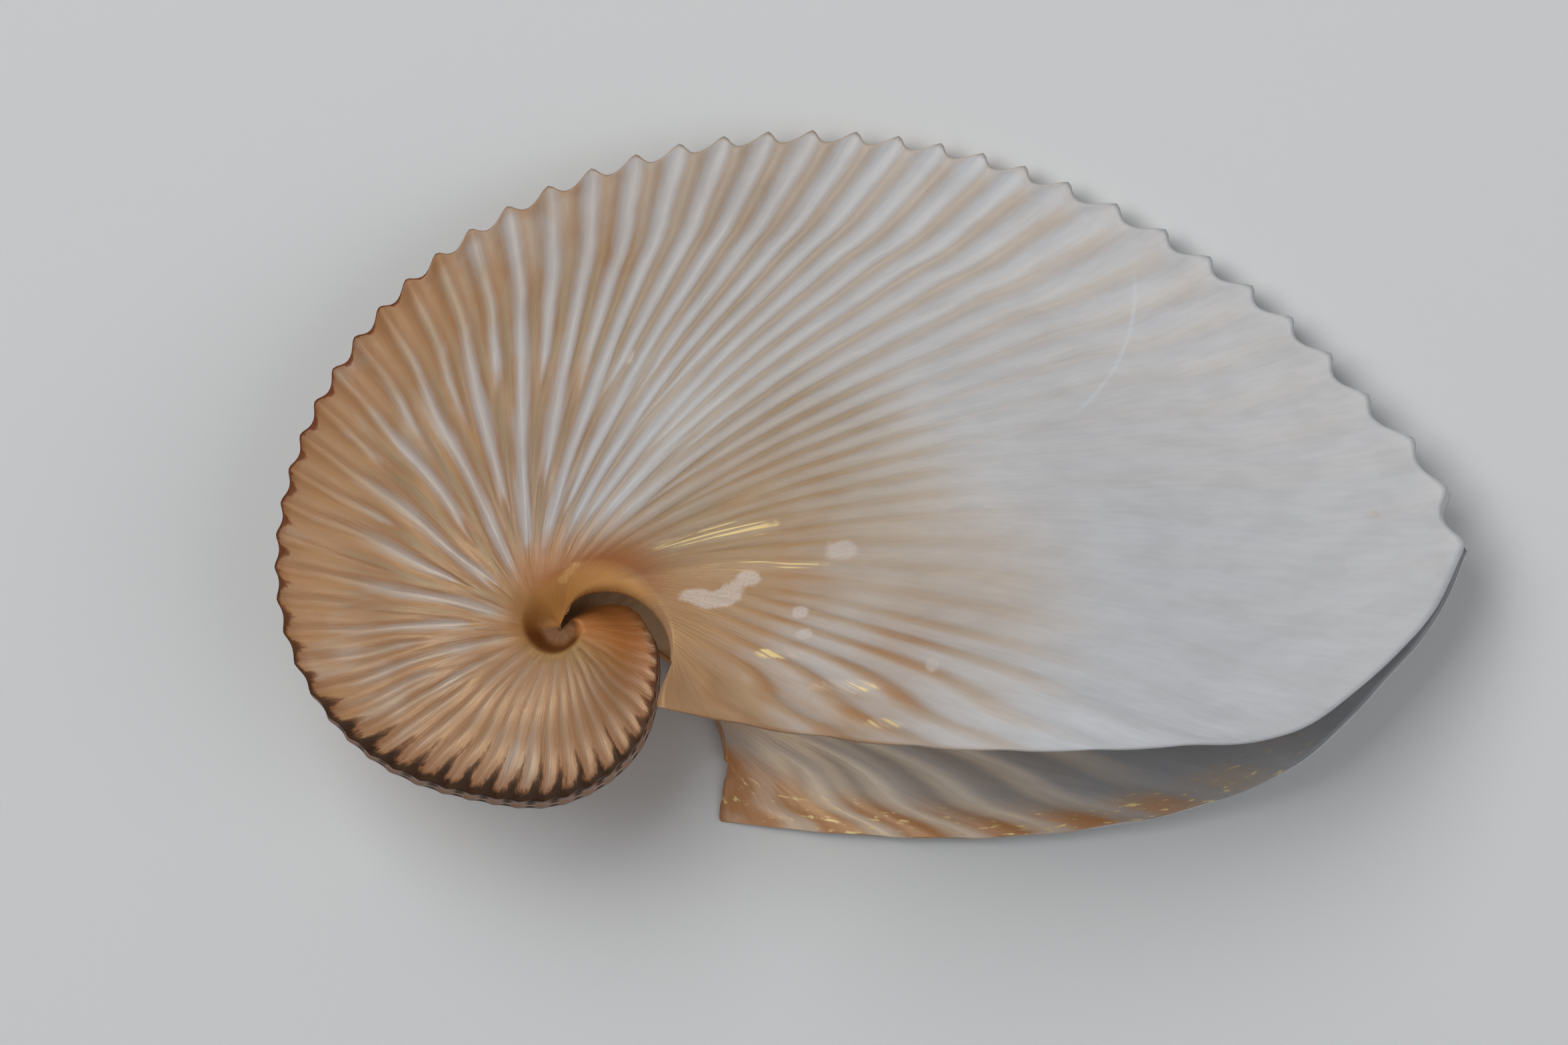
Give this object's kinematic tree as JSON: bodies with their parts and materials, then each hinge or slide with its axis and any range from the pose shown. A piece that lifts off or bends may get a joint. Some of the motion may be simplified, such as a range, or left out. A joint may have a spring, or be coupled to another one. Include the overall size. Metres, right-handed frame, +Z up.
{
  "type": "paper nautilus shell",
  "caption": "Whole paper nautilus shell lying on its side: a thin, flat-coiled, ribbed sheet with a narrow double-rowed keel, open along its lip.",
  "frame": {"origin": "centre of the bounding box, on the surface that the shell lies on", "axes": "+X along the shell's length, towards the tip of the keel; +Z up, across the coil's thickness; the aperture opens towards -Y"},
  "size_m": [0.163, 0.0977, 0.0472],
  "materials": {
    "shell": "satin"
  },
  "bodies": {
    "root": {"shell": "shell"}
  },
  "joints": []
}
